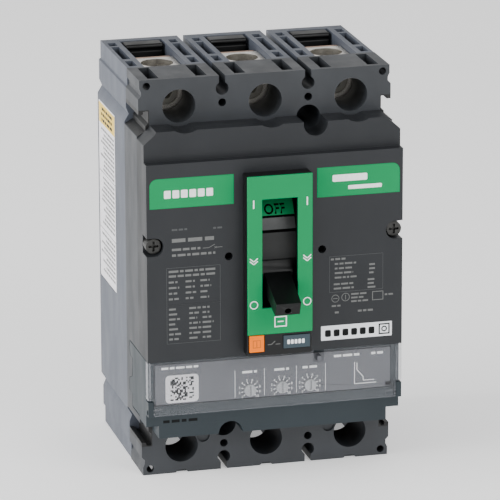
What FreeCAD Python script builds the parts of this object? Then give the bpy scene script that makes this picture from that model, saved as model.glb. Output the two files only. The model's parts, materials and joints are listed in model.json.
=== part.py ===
"""Three-pole molded case breaker with a toggle handle and an electronic trip unit.

Frame: X to the right, Y towards the mounting surface, Z up, millimetres.
The origin is the centre of the back face. The front of the breaker looks towards -Y,
so every depth below is measured forward from the back face, and y = -depth.
"""
import FreeCAD
import Part
import os
import re
import Sketcher

POLES = (-1, 0, 1)
ENDS = (1, -1)

# Driving dimensions. Lengths in millimetres, angles in degrees.
SIZES = {
    # outer form
    "case_width": 104.2, "case_height": 163.0, "pole_pitch": 35.0,
    "seam_depth": 48.8, "face_depth": 70.5, "cover_depth": 86.0, "bezel_depth": 92.2,
    "green_depth": 93.0, "band_depth": 82.0,
    # rear base and main cover
    "back_wall": 4.0, "front_wall": 4.0, "cavity_half": 13.5, "cavity_top": 48.0,
    "bay_half": 8.7, "bay_floor": 50.0, "bay_rear": 4.2, "bay_front": 48.5,
    "side_cell_in": 11.0, "side_cell_out": 14.2, "side_cell_floor": 68.5,
    "barrier_slot": 2.6, "barrier_key_z": 76.3, "barrier_key_radius": 2.6,
    "access_z": 70.3, "access_radius": 6.7,
    "label_rear": 1.0, "label_front": 30.8, "label_low": 17.0, "label_top": 57.6, "label_sink": 0.2,
    "mount_x": 17.5, "mount_z": 62.5, "mount_radius": 2.75, "mount_head": 4.9,
    "case_screw_z": 51.0, "case_screw_low": 22.0, "case_screw_radius": 1.9,
    # accessory cover, bezel and plates
    "cover_top": 63.3, "band_low": 51.3, "cover_low": 29.4,
    "bezel_half": 13.2, "bezel_top": 45.7, "bezel_low": 28.0, "green_low": 19.05,
    "slot_half": 7.2, "slot_low": 8.2, "slot_top": 36.15, "plate_thick": 0.8, "corner_radius": 3.0,
    "cover_screw_x": 49.0, "cover_screw_z": 17.9, "cover_screw_head": 3.3,
    # conductors and contacts
    "strip_half": 8.0, "strip_thick": 3.5, "strip_rear": 21.3,
    "lug_half": 8.4, "lug_low": 60.0, "lug_high": 79.0, "lug_front": 48.0,
    "wire_depth": 33.5, "wire_radius": 6.5, "lug_screw_radius": 5.0,
    "pad_hole_radius": 3.3, "nut_half": 5.2,
    "rotor_depth": 26.0, "drum_radius": 13.5, "drum_half": 9.5, "journal_radius": 8.0,
    "running_gap": 0.08, "contact_travel": 36.0, "contact_half": 4.0,
    "drive_radius": 10.8, "drive_angle": 24.0, "drive_pin_radius": 1.2,
    # toggle mechanism
    "pivot_depth": 58.0, "pivot_z": 14.0, "apron_radius": 28.0, "apron_thick": 2.5,
    "apron_half": 9.5, "lever_reach": 50.9, "lever_drop": 22.6,
    "lever_root_half": 5.4, "lever_tip_half": 5.0, "lever_half_thick": 2.8,
    "collar_half": 6.5, "collar_reach": 31.6,
    "cradle_depth": 44.0, "cradle_z": 35.0, "link_depth": 48.5, "link_z": 28.0,
    "upper_link": 14.0, "upper_tilt": 12.3, "lower_link": 18.5, "lower_tilt": 57.54,
    "toggle_pin_radius": 1.5, "plate_in": 12.2, "plate_out": 13.4,
    "trip_bar_depth": 48.0, "trip_bar_z": 14.0,
    # trip unit
    "unit_top": 29.6, "unit_low": 62.5, "unit_front": 82.0, "face_front": 82.3,
    "pane_front": 86.0, "pane_thick": 1.2, "pane_low": 51.8, "hinge_depth": 84.5,
    "hinge_z": 50.3, "peg_radius": 1.0, "ear_top": 45.8, "ear_low": 52.0,
    "dial_radius": 2.4,
}

doc = FreeCAD.newDocument("molded_case_breaker")
sheet = doc.addObject("Spreadsheet::Sheet", "dims")
for row, (alias, size) in enumerate(SIZES.items(), start=1):
    sheet.set("A%d" % row, alias)
    sheet.set("B%d" % row, str(size))
    sheet.setAlias("B%d" % row, alias)
doc.recompute()

subparts = []


# ---------------------------------------------------------------- helpers
def bound(text):
    """Turn 'case_width / 2' into the expression 'dims.case_width / 2'."""
    return re.sub(r"[a-z]\w*", lambda word: "dims." + word.group()
                  if word.group() in SIZES else word.group(), str(text))


def number(text):
    """The present value of an expression on the sheet."""
    return float(sheet.evalExpression(bound(text)))


def minus(text):
    return "-(%s)" % text


def around(centre, half):
    """A span of the given half width about a centre."""
    return ("(%s) - (%s)" % (centre, half), "(%s) + (%s)" % (centre, half))


def pole_x(pole):
    return "%d * pole_pitch" % pole


def keep(name, obj):
    """Register a finished sub-part under its node name."""
    obj.Label = name
    subparts.append(obj)
    return obj


PLANES = {"XY": ("XY_Plane", 1), "XZ": ("XZ_Plane", -1), "YZ": ("YZ_Plane", 1)}


def new_sketch(body, plane, at):
    """An empty sketch on a plane of the body's origin, moved to the coordinate 'at'."""
    role, sign = PLANES[plane]
    sketch = body.newObject("Sketcher::SketchObject", body.Name + "_sketch")
    sketch.AttachmentSupport = [(next(f for f in body.Origin.OriginFeatures if f.Role == role), "")]
    sketch.MapMode = "FlatFace"
    sketch.setExpression("AttachmentOffset.Base.z", bound("%d * (%s)" % (sign, at)))
    return sketch


def hold_point(sketch, edge, end, place):
    """Hold one sketch point at a place given by two expressions."""
    for kind, text in zip(("DistanceX", "DistanceY"), place):
        index = sketch.addConstraint(Sketcher.Constraint(kind, -1, 1, edge, end, number(text)))
        sketch.setExpression("Constraints[%d]" % index, bound(text))


def draw_polygon(sketch, points):
    """Add one closed outline of straight edges to a sketch."""
    first = sketch.GeometryCount
    count = len(points)
    places = [FreeCAD.Vector(number(a), number(b), 0) for a, b in points]
    for i in range(count):
        sketch.addGeometry(Part.LineSegment(places[i], places[(i + 1) % count]))
    for i in range(count):
        sketch.addConstraint(Sketcher.Constraint(
            "Coincident", first + i, 2, first + (i + 1) % count, 1))
    for i in range(count):
        hold_point(sketch, first + i, 1, points[i])


def draw_circle(sketch, centre, radius):
    """Add one circle to a sketch."""
    place = FreeCAD.Vector(number(centre[0]), number(centre[1]), 0)
    edge = sketch.addGeometry(Part.Circle(place, FreeCAD.Vector(0, 0, 1), number(radius)))
    hold_point(sketch, edge, 3, centre)
    index = sketch.addConstraint(Sketcher.Constraint("Radius", edge, number(radius)))
    sketch.setExpression("Constraints[%d]" % index, bound(radius))


def rectangle(across, up):
    """The four corners of a rectangle from two spans."""
    (left, right), (low, high) = across, up
    return [(left, low), (right, low), (right, high), (left, high)]


def four_way(quadrant):
    """Mirror one quadrant's outline, listed from the top down, into a whole outline."""
    right = quadrant + [(x, minus(z)) for x, z in reversed(quadrant)]
    return right + [(minus(x), z) for x, z in reversed(right)]


def two_way(side):
    """Mirror the right side's outline, listed from the top down, to the left."""
    return side + [(minus(x), z) for x, z in reversed(side)]


def feature(body, kind, plane, span, polygons=(), circles=()):
    """Pad or Pocket a sketch over a span of the coordinate across its plane."""
    low, high = span
    start = high if plane == "XZ" else low
    sketch = new_sketch(body, plane, start)
    for points in polygons:
        draw_polygon(sketch, points)
    for centre, radius in circles:
        draw_circle(sketch, centre, radius)
    before = body.Shape.Volume if kind == "Pocket" else 0.0
    made = body.newObject("PartDesign::" + kind, body.Name + "_" + kind.lower())
    made.Profile = sketch
    made.setExpression("Length", bound("(%s) - (%s)" % (high, low)))
    made.Reversed = kind == "Pocket"
    body.Tip = made
    doc.recompute()
    if kind == "Pocket" and body.Shape.Volume > before - 1e-6:
        raise RuntimeError("a pocket of %s cut nothing" % body.Name)
    return made


def new_body(name):
    return doc.addObject("PartDesign::Body", name)


def pad(body, plane, span, polygons=(), circles=()):
    return feature(body, "Pad", plane, span, polygons, circles)


def pocket(body, plane, span, polygons=(), circles=()):
    return feature(body, "Pocket", plane, span, polygons, circles)


def revolve(body, plane, polygon, axis):
    """Turn an outline a full turn about the sketch's own H or V axis."""
    sketch = new_sketch(body, plane, 0)
    draw_polygon(sketch, polygon)
    made = body.newObject("PartDesign::Revolution", body.Name + "_revolution")
    made.Profile = sketch
    made.ReferenceAxis = (sketch, [axis])
    made.Angle = 360
    body.Tip = made
    doc.recompute()
    return made


def box(x, y, z):
    """A Part::Box between three spans."""
    made = doc.addObject("Part::Box", "block")
    for size, axis, (low, high) in (("Length", "x", x), ("Width", "y", y), ("Height", "z", z)):
        made.setExpression(size, bound("(%s) - (%s)" % (high, low)))
        made.setExpression("Placement.Base." + axis, bound(low))
    return made


TURNS = {"X": ((0, 1, 0), 90, "xyz"), "Y": ((1, 0, 0), -90, "yxz"), "Z": ((0, 0, 1), 0, "zxy")}


def rod(axis, centre, span, radius, kind="Part::Cylinder"):
    """A cylinder along X, Y or Z. 'centre' gives the two other coordinates in order."""
    direction, angle, names = TURNS[axis]
    made = doc.addObject(kind, "rod")
    made.Placement = FreeCAD.Placement(
        FreeCAD.Vector(), FreeCAD.Rotation(FreeCAD.Vector(*direction), angle))
    made.setExpression("Radius", bound(radius))
    made.setExpression("Height", bound("(%s) - (%s)" % (span[1], span[0])))
    for name, text in zip(names, (span[0], centre[0], centre[1])):
        made.setExpression("Placement.Base." + name, bound(text))
    return made


def fuse(pieces):
    if len(pieces) == 1:
        return pieces[0]
    made = doc.addObject("Part::MultiFuse", "joined")
    made.Shapes = pieces
    return made


def cut(base, tools):
    made = doc.addObject("Part::Cut", "trimmed")
    made.Base = base
    made.Tool = fuse(tools)
    return made


def group(pieces):
    """Separate solids that share one node."""
    made = doc.addObject("Part::Compound", "set")
    made.Links = pieces
    return made


def turned(obj, angle, depth, height):
    """Swing an object drawn about the X axis, and move that axis to a depth and height."""
    obj.Placement = FreeCAD.Placement(
        FreeCAD.Vector(), FreeCAD.Rotation(FreeCAD.Vector(1, 0, 0), number(angle)))
    obj.setExpression("Placement.Base.y", bound(minus(depth)))
    obj.setExpression("Placement.Base.z", bound(height))
    return obj


def depth_span(front, back):
    """A span along Y from two depths, the front one being the larger."""
    return (minus(front), minus(back))


def end_span(end, inner, outer):
    """A span along Z at the top (end 1) or the bottom (end -1)."""
    return (inner, outer) if end > 0 else (minus(outer), minus(inner))


def mirror_pair(x, z_values):
    return [(side % x, z) for side in ("%s", "-(%s)") for z in z_values]


# ---------------------------------------------------------------- housings
def make_rear_base():
    body = new_body("rear_base")
    top = "case_height / 2"
    quadrant = [("50.7", top), ("50.7", "74.2"), ("51.4", "73.7"), ("51.4", "65.5"),
                ("50.3", "62.8"), ("case_width / 2", "59.8")]
    pad(body, "XZ", depth_span("seam_depth", "0"), [four_way(quadrant)])
    inside = depth_span("seam_depth", "back_wall")
    for pole in POLES:
        cavity = rectangle(around(pole_x(pole), "cavity_half"), around("0", "cavity_top"))
        pocket(body, "XZ", inside, [cavity])
    for end in ENDS:
        bays = []
        cells = []
        strips = []
        for pole in POLES:
            bays.append(rectangle(around(pole_x(pole), "bay_half"), end_span(end, "bay_floor", top)))
            strips.append(rectangle(around(pole_x(pole), "strip_half + 0.3"),
                                    end_span(end, "cavity_top - 1", "bay_floor + 1")))
            for side in ENDS:
                middle = "%s + %d * (side_cell_in + side_cell_out) / 2" % (pole_x(pole), side)
                across = around(middle, "(side_cell_out - side_cell_in) / 2")
                cells.append(rectangle(across, end_span(end, "side_cell_floor", top)))
        pocket(body, "XZ", depth_span("bay_front", "bay_rear"), bays)
        pocket(body, "XZ", depth_span("seam_depth", "bay_front"), bays)
        pocket(body, "XZ", depth_span("strip_rear + strip_thick + 0.3", "strip_rear - 0.3"), strips)
        for front, back in (("11.6", "6.2"), ("34.5", "13.3"), ("46.3", "37.8")):
            pocket(body, "XZ", depth_span(front, back), cells)
        cut_barrier_slots(body, end, depth_span("seam_depth", "0"))
    # the rotor's journals lie in grooves that open towards the front
    groove = rectangle(depth_span("seam_depth", "rotor_depth"),
                       around("0", "journal_radius + running_gap"))
    bearing = [((minus("rotor_depth"), "0"), "journal_radius + running_gap")]
    reach = around("0", "case_width / 2 - 1.9")
    pocket(body, "YZ", reach, [], bearing)
    pocket(body, "YZ", reach, [groove])
    for side in (1, -1):
        at = ("%d * mount_x" % side, "%d * mount_z" % side)
        pocket(body, "XZ", depth_span("8", "0"), [], [(at, "mount_radius")])
        pocket(body, "XZ", depth_span("seam_depth", "8"), [], [(at, "mount_head")])
    screws = [(place, "case_screw_radius") for place in case_screw_places()]
    pocket(body, "XZ", depth_span("seam_depth", "34"), [], screws)
    label = rectangle(depth_span("label_front", "label_rear"), (minus("label_low"), "label_top"))
    pocket(body, "YZ", ("-case_width / 2", "label_sink - case_width / 2"), [label])
    return keep("rear_base", body)


def cut_barrier_slots(body, end, span):
    """Slots between the poles that take slide-in phase barriers."""
    slots = []
    keys = []
    for side in ENDS:
        middle = "%d * mount_x" % side
        slots.append(rectangle(around(middle, "barrier_slot / 2"),
                               end_span(end, "barrier_key_z", "case_height / 2")))
        keys.append(((middle, "%d * barrier_key_z" % end), "barrier_key_radius"))
    pocket(body, "XZ", span, slots)
    pocket(body, "XZ", span, [], keys)


def case_screw_places():
    return mirror_pair("mount_x", ("case_screw_z", minus("case_screw_low")))


def make_bay_inserts():
    """Insulating plugs that close the rear of the line bays, with a grip groove near the top."""
    plugs = []
    for pole in POLES:
        plug = new_body("bay_plug")
        outline = [("-bay_rear - 0.1", "56"), ("-11.4", "56"), ("-11.4", "78.7"), ("-10.2", "78.7"),
                   ("-10.2", "79.5"), ("-11.4", "79.5"), ("-11.4", "80.9"), ("-10.8", "81.4"),
                   ("-4.9", "81.4"), ("-bay_rear - 0.1", "80.7")]
        pad(plug, "YZ", around(pole_x(pole), "7.7"), [outline])
        plugs.append(plug)
    return keep("bay_inserts", group(plugs))


def make_main_cover():
    body = new_body("main_cover")
    top = "case_height / 2"
    quadrant = [("50.9", top), ("50.9", "78.2"), ("50.2", "76.7"), ("50.2", "75.1"),
                ("51.4", "73.9"), ("51.4", "67.7"), ("49.8", "67.7"), ("48.6", "69.1"),
                ("47.4", "69.0"), ("47.4", "64.1"), ("48.6", "62.9"), ("48.6", "61.0"),
                ("case_width / 2", "59.0")]
    pad(body, "XZ", depth_span("face_depth", "seam_depth"), [four_way(quadrant)])
    for pole in POLES:
        cavity = rectangle(around(pole_x(pole), "cavity_half"), around("0", "cavity_top"))
        pocket(body, "XZ", depth_span("face_depth - front_wall", "seam_depth"), [cavity])
    seat = trip_unit_profile("0.4")
    pocket(body, "YZ", around("0", "case_width / 2 + 1"), [seat])
    for end in ENDS:
        wells = [rectangle(around("%s + %d * 9.7" % (pole_x(pole), side), "2.2"), end_span(end, "62.5", top))
                 for pole in POLES for side in ENDS]
        pocket(body, "XZ", depth_span("68.2", "50.5"), wells)
        holes = [((pole_x(pole), "%d * access_z" % end), "access_radius") for pole in POLES]
        pocket(body, "XZ", depth_span("face_depth", "seam_depth"), [], holes)
        cut_barrier_slots(body, end, depth_span("face_depth", "seam_depth"))
        small = [(("%d * mount_x" % side, "%d * 70.6" % end), "1.6") for side in ENDS]
        small += [(("%d * 48" % side, "%d * 79" % end), "1.5") for side in ENDS]
        pocket(body, "XZ", depth_span("face_depth", "60"), [], small)
        squares = [rectangle(around("%d * 48.55" % side, "0.95"), end_span(end, "66.7", "68.9"))
                   for side in ENDS]
        pocket(body, "XZ", depth_span("face_depth", "66"), squares)
    notches = []
    for pole in POLES:
        notches.append([("%s - 2.5" % pole_x(pole), minus(top)), ("%s + 2.5" % pole_x(pole), minus(top)),
                        ("%s + 1.5" % pole_x(pole), "1.2 - (%s)" % top),
                        ("%s - 1.5" % pole_x(pole), "1.2 - (%s)" % top)])
    pocket(body, "XZ", depth_span("face_depth", "face_depth - 1.6"), notches)
    dimples = [(("%d * 26" % side, "-66.8"), "2.6") for side in ENDS]
    pocket(body, "XZ", depth_span("face_depth", "face_depth - 1"), [], dimples)
    handle_way = rectangle(around("0", "plate_out + 0.6"), ("-15.5", "43.5"))
    pocket(body, "XZ", depth_span("face_depth", "face_depth - front_wall"), [handle_way])
    pocket(body, "XZ", depth_span("face_depth", "face_depth - front_wall"), [],
           [(("-9.5", "-22.7"), "2.0")])
    for side in ENDS:
        at = ("%d * mount_x" % side, "%d * mount_z" % side)
        pocket(body, "XZ", depth_span("face_depth", "seam_depth"), [], [(at, "mount_head")])
    pocket(body, "XZ", depth_span("face_depth", "seam_depth"), [],
           [(place, "case_screw_radius") for place in case_screw_places()])
    pocket(body, "XZ", depth_span("face_depth", "face_depth - front_wall"), [],
           [(place, "3.8") for place in case_screw_places()])
    pocket(body, "XZ", depth_span("face_depth", "67"), [],
           [(place, "1.2") for place in cover_screw_places()])
    return keep("main_cover", body)


def cover_screw_places():
    return [("cover_screw_x", "cover_screw_z"), (minus("cover_screw_x"), "cover_screw_z")]


def make_accessory_cover():
    body = new_body("accessory_cover")
    upper = [("46.9", "cover_top"), ("47.6", "62.1"), ("51.8", "58.5"), ("case_width / 2", "58.0"),
             ("case_width / 2", minus("cover_low"))]
    lower = [("case_width / 2", "band_low"), ("case_width / 2", minus("cover_low"))]
    pad(body, "XZ", depth_span("band_depth", "face_depth"), [two_way(upper)])
    pad(body, "XZ", depth_span("cover_depth", "band_depth"), [two_way(lower)])
    scallops = [((pole_x(pole), "access_z"), "8.2") for pole in POLES]
    pocket(body, "XZ", depth_span("band_depth", "face_depth"), [], scallops)
    pocket(body, "XZ", depth_span("band_depth", "face_depth"), [], [(("mount_x", "mount_z"), "mount_head")])
    rooms = [rectangle(("15.8", "45.0"), ("-26.4", "48.5")), rectangle(("-45.0", "-15.8"), ("-26.4", "48.5")),
             rectangle(("-14.0", "14.0"), ("-27.0", "46.5"))]
    pocket(body, "XZ", depth_span("cover_depth - 3", "face_depth"), rooms)
    way = rectangle(around("0", "apron_half + 0.7"), ("-14.5", "42.5"))
    button = rectangle(("-12.65", "-6.35"), ("-26.35", "-19.1"))
    pocket(body, "XZ", depth_span("cover_depth", "cover_depth - 3"), [way, button])
    for side in ENDS:
        seat = rectangle(tuple(sorted(("%d * 49" % side, "%d * 53" % side), key=number)),
                         around("cover_screw_z", "3.7"))
        pocket(body, "XZ", depth_span("cover_depth", "cover_depth - 7"), [seat])
    pocket(body, "XZ", depth_span("cover_depth", "cover_depth - 7"), [],
           [(place, "3.7") for place in cover_screw_places()])
    pocket(body, "XZ", depth_span("cover_depth - 7", "face_depth"), [],
           [(place, "1.2") for place in cover_screw_places()])
    pocket(body, "XZ", depth_span("cover_depth", "cover_depth - 3"), [],
           [(("%d * 19" % side, "12.1"), "1.6") for side in ENDS])
    pocket(body, "XZ", depth_span("cover_depth", "cover_depth - plate_thick"),
           [nameplate_outline(1), nameplate_outline(-1)])
    return keep("accessory_cover", body)


def nameplate_outline(side):
    """Outline of one nameplate, with its outer top corner rounded in short steps."""
    inner = "%d * 16.9" % side
    outer = "%d * (47.8 + corner_radius)" % side
    corner = [("%d * (47.8 + corner_radius * cos(%d deg))" % (side, turn),
               "42.5 + corner_radius * sin(%d deg)" % turn) for turn in range(0, 91, 15)]
    return [(inner, "33.4"), (outer, "33.4")] + corner + [(inner, "42.5 + corner_radius")]


def make_nameplate(name, side):
    body = new_body(name)
    pad(body, "XZ", depth_span("cover_depth", "cover_depth - plate_thick"), [nameplate_outline(side)])
    return keep(name, body)


def make_bezel():
    body = new_body("handle_bezel")
    outer = rectangle(around("0", "bezel_half"), (minus("bezel_low"), "bezel_top"))
    pad(body, "XZ", depth_span("bezel_depth", "cover_depth"), [outer])
    hollow = rectangle(around("0", "bezel_half - 2"), ("-17.2", "bezel_top - 2"))
    pocket(body, "XZ", depth_span("bezel_depth - 1.6", "cover_depth"), [hollow])
    slot = rectangle(around("0", "slot_half"), (minus("slot_low"), "slot_top"))
    button = rectangle(("-12.65", "-6.35"), ("-26.35", "-19.1"))
    pocket(body, "XZ", depth_span("bezel_depth", "bezel_depth - 1.6"), [slot])
    pocket(body, "XZ", depth_span("bezel_depth", "cover_depth"), [button])
    rating = rectangle(("1.5", "12.3"), ("-25.6", "-20.3"))
    pocket(body, "XZ", depth_span("bezel_depth", "bezel_depth - 0.5"), [rating])
    return keep("handle_bezel", body)


def make_escutcheon():
    body = new_body("escutcheon")
    outer = rectangle(around("0", "bezel_half"), (minus("green_low"), "bezel_top"))
    slot = rectangle(around("0", "slot_half"), (minus("slot_low"), "slot_top"))
    pad(body, "XZ", depth_span("green_depth", "bezel_depth"), [outer])
    pocket(body, "XZ", depth_span("green_depth", "bezel_depth"), [slot])
    return keep("escutcheon", body)


def make_rating_plate():
    body = new_body("rating_plate")
    rating = rectangle(("1.5", "12.3"), ("-25.6", "-20.3"))
    pad(body, "XZ", depth_span("bezel_depth + 0.3", "bezel_depth - 0.5"), [rating])
    return keep("rating_plate", body)


# ---------------------------------------------------------------- screws
def make_cover_screws():
    screws = []
    for place in cover_screw_places():
        head = rod("Y", place, depth_span("cover_depth - 1.8", "cover_depth - 7"), "cover_screw_head - 0.25")
        shank = rod("Y", place, depth_span("cover_depth - 6.9", "67.2"), "1.2")
        x, z = place
        tall = box(around(x, "0.45"), depth_span("cover_depth - 1.7", "cover_depth - 3.4"), around(z, "2"))
        wide = box(around(x, "2"), depth_span("cover_depth - 1.7", "cover_depth - 3.4"), around(z, "0.45"))
        screws.append(cut(fuse([head, shank]), [tall, wide]))
    return keep("cover_screws", group(screws))


def make_case_screws():
    screws = []
    for place in case_screw_places():
        head = rod("Y", place, depth_span("face_depth - 0.4", "face_depth - front_wall"), "3.6")
        shank = rod("Y", place, depth_span("face_depth - front_wall + 0.1", "36"), "case_screw_radius")
        x, z = place
        slot = box(around(x, "3"), depth_span("face_depth", "face_depth - 1.6"), around(z, "0.5"))
        screws.append(cut(fuse([head, shank]), [slot]))
    return keep("case_screws", group(screws))


def make_lug_screws():
    screws = []
    for pole in POLES:
        place = (pole_x(pole), "access_z")
        stud = rod("Y", place, depth_span("lug_front - 0.4", "41"), "lug_screw_radius - 0.1")
        key = doc.addObject("Part::Prism", "key")
        key.Polygon = 6
        key.Circumradius = 2.9
        key.setExpression("Height", bound("4.5"))
        key.Placement = FreeCAD.Placement(
            FreeCAD.Vector(), FreeCAD.Rotation(FreeCAD.Vector(1, 0, 0), -90))
        key.setExpression("Placement.Base.x", bound(place[0]))
        key.setExpression("Placement.Base.y", bound("-lug_front - 0.1"))
        key.setExpression("Placement.Base.z", bound(place[1]))
        screws.append(cut(stud, [key]))
    return keep("line_lug_screws", group(screws))


# ---------------------------------------------------------------- current path
def make_lug(pole):
    """Box lug on the line side: the wire goes in along Z and the screw comes from the front."""
    name = "line_lug_%d" % (pole + 2)
    body = new_body(name)
    rear = "strip_rear + strip_thick"
    block = rectangle(around(pole_x(pole), "lug_half"), ("lug_low", "lug_high"))
    pad(body, "XZ", depth_span("lug_front", rear), [block])
    wire = [((pole_x(pole), minus("wire_depth")), "wire_radius")]
    pocket(body, "XY", ("lug_low", "lug_high"), [], wire)
    screw = [((pole_x(pole), "access_z"), "lug_screw_radius")]
    pocket(body, "XZ", depth_span("lug_front", "wire_depth + wire_radius - 2"), [], screw)
    return keep(name, body)


def make_terminal_nuts():
    """Square nuts behind the load terminals' holes, for bolted bars or ring tongues."""
    nuts = []
    for pole in POLES:
        nut = new_body("terminal_nut")
        across = rectangle(around(pole_x(pole), "nut_half"), around("-access_z", "nut_half"))
        span = depth_span("strip_rear", "strip_rear - 5")
        pad(nut, "XZ", span, [across])
        pocket(nut, "XZ", span, [], [((pole_x(pole), "-access_z"), "2.6")])
        nuts.append(nut)
    return keep("terminal_nuts", group(nuts))


def make_line_terminal(pole):
    name = "line_terminal_%d" % (pole + 2)
    body = new_body(name)
    front, rear = "strip_rear + strip_thick", "strip_rear"
    far, near = "2 * rotor_depth - 12.2", "2 * rotor_depth - 15.7"
    outline = [(minus(front), "lug_high - 0.4"), (minus(front), "47.5"), (minus(far), "47.5"), (minus(far), "12"),
               (minus(near), "12"), (minus(near), "44"), (minus(rear), "44"), (minus(rear), "lug_high - 0.4")]
    pad(body, "YZ", around(pole_x(pole), "strip_half"), [outline])
    button = [((pole_x(pole), "16.5"), "3.6")]
    pad(body, "XZ", depth_span("%s + 0.2" % near, "%s - 1.5" % near), [], button)
    return keep(name, body)


def make_load_terminal(pole):
    name = "load_terminal_%d" % (pole + 2)
    body = new_body(name)
    front, rear = "strip_rear + strip_thick", "strip_rear"
    outline = [(minus(front), "-75.5"), (minus(front), "-44"), ("-15.7", "-44"), ("-15.7", "-12"),
               ("-12.2", "-12"), ("-12.2", "-47.5"), (minus(rear), "-47.5"), (minus(rear), "-75.5")]
    pad(body, "YZ", around(pole_x(pole), "strip_half"), [outline])
    button = [((pole_x(pole), "-16.5"), "3.6")]
    pad(body, "XZ", depth_span("15.7 + 1.5", "15.7 - 0.2"), [], button)
    pocket(body, "XZ", depth_span(front, rear), [], [((pole_x(pole), "-access_z"), "pad_hole_radius")])
    return keep(name, body)


def make_arc_chutes(pole):
    """Two stacks of steel splitter plates in fibre cheeks, above and below the rotor."""
    stacks = []
    for depth, low, high, near in ((("33.5", "9"), "23", "42", "23"), (("40.4", "24"), "-42", "-23", "-23")):
        pieces = []
        span = depth_span(*depth)
        for side in ENDS:
            pieces.append(box(around("%s + %d * 11.2" % (pole_x(pole), side), "0.8"), span, (low, high)))
        for step in range(7):
            level = "%s + %s" % (low, 1.0 + 2.75 * step)
            pieces.append(box(around(pole_x(pole), "11"), span, around(level, "0.6")))
        throat = box(around(pole_x(pole), "3"), depth_span("%s - 3" % depth[0], "%s + 6" % depth[1]),
                     around(near, "9"))
        stacks.append(cut(fuse(pieces), [throat]))
    return keep("arc_chutes_%d" % (pole + 2), group(stacks))


def make_current_transformer(pole):
    core = box(around(pole_x(pole), "12.5"), depth_span("23.4", "4.6"), ("-40", "-26"))
    window = box(around(pole_x(pole), "strip_half + 0.4"), depth_span("16.2", "11.7"), ("-41", "-25"))
    return keep("current_transformer_%d" % (pole + 2), cut(core, [window]))


# ---------------------------------------------------------------- contact rotor
ROD_PLACES = [("4.9", "2.6"), ("-4.9", "-2.6")]
DRIVE_PLACE = ("-drive_radius * cos((contact_travel - drive_angle) * 1 deg)",
               "-drive_radius * sin((contact_travel - drive_angle) * 1 deg)")


def make_moving_contact(pole):
    """S-shaped double contact arm, drawn closed about the rotor's axis and then turned open."""
    name = "moving_contact_%d" % (pole + 2)
    body = new_body(name)
    half = [("-4.0", "20"), ("-7.5", "20"), ("-7.5", "19.4"), ("-8.7", "19.4"), ("-8.7", "13.4"),
            ("-7.5", "13.4"), ("-7.5", "9"), ("-2.6", "0")]
    arm = half + [(minus(y), minus(z)) for y, z in half]
    pad(body, "YZ", around(pole_x(pole), "contact_half"), [arm])
    return keep(name, turned(body, minus("contact_travel"), "rotor_depth", "0"))


def make_rotor(pole):
    """A drum with journals, slotted for the contact arm and drilled for the crossbar rods."""
    name = "contact_rotor_%d" % (pole + 2)
    body = new_body(name)
    centre = pole_x(pole)
    inner = "pole_pitch / 2 - 0.1"
    outer = "15.0" if pole else inner
    low, high = (outer, inner) if pole < 0 else (inner, outer)
    span = ("%s - (%s)" % (centre, low), "%s + (%s)" % (centre, high))
    pad(body, "YZ", span, [], [(("0", "0"), "journal_radius")])
    pad(body, "YZ", around(centre, "drum_half"), [], [(("0", "0"), "drum_radius")])
    half = [("-1", "21"), ("-9", "21"), ("-9", "9"), ("-2.9", "-0.3")]
    slot = half + [(minus(y), minus(z)) for y, z in half]
    pocket(body, "YZ", around(centre, "contact_half + 0.1"), [slot])
    pocket(body, "YZ", around(centre, "pole_pitch / 2"), [], [(place, "1.5") for place in ROD_PLACES])
    if pole == 0:
        for span in (("6", "drum_half"), ("-drum_half", "-6")):
            pocket(body, "YZ", span, [], [(DRIVE_PLACE, "drive_pin_radius")])
    return keep(name, turned(body, minus("contact_travel"), "rotor_depth", "0"))


def make_crossbar_rods():
    body = new_body("crossbar_rod")
    pad(body, "YZ", ("-49.9", "49.9"), [], [(ROD_PLACES[0], "1.5")])
    twin = new_body("crossbar_rod_twin")
    pad(twin, "YZ", ("-49.9", "49.9"), [], [(ROD_PLACES[1], "1.5")])
    turned(body, minus("contact_travel"), "rotor_depth", "0")
    turned(twin, minus("contact_travel"), "rotor_depth", "0")
    return keep("crossbar_rods", group([body, twin]))


def make_drive_pins():
    pins = []
    for span in (("6", "11.8"), ("-11.8", "-6")):
        pin = new_body("drive_pin")
        pad(pin, "YZ", span, [], [(DRIVE_PLACE, "drive_pin_radius")])
        pins.append(turned(pin, minus("contact_travel"), "rotor_depth", "0"))
    return keep("drive_pins", group(pins))


# ---------------------------------------------------------------- toggle mechanism
def both_sides(inner, outer):
    """Matching spans along X on the right and on the left."""
    return ((inner, outer), (minus(outer), minus(inner)))


def make_side_plates():
    plates = []
    outline = [("-34", "24"), ("-34", "41"), ("-52", "41"), ("-66", "30"), ("-66", "-2"), ("-53", "-19"),
               ("-44", "-19"), ("-44", "4"), ("-40", "18")]
    gap = "running_gap"
    holes = [(("-pivot_depth", "pivot_z"), "2 + " + gap), (("-cradle_depth", "cradle_z"), "2 + " + gap),
             (("-trip_bar_depth", "-trip_bar_z"), "1.5 + " + gap)]
    for span in both_sides("plate_in", "plate_out"):
        plate = new_body("side_plate")
        pad(plate, "YZ", span, [outline])
        pocket(plate, "YZ", span, [], holes)
        plates.append(plate)
    return keep("mechanism_side_plates", group(plates))


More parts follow.
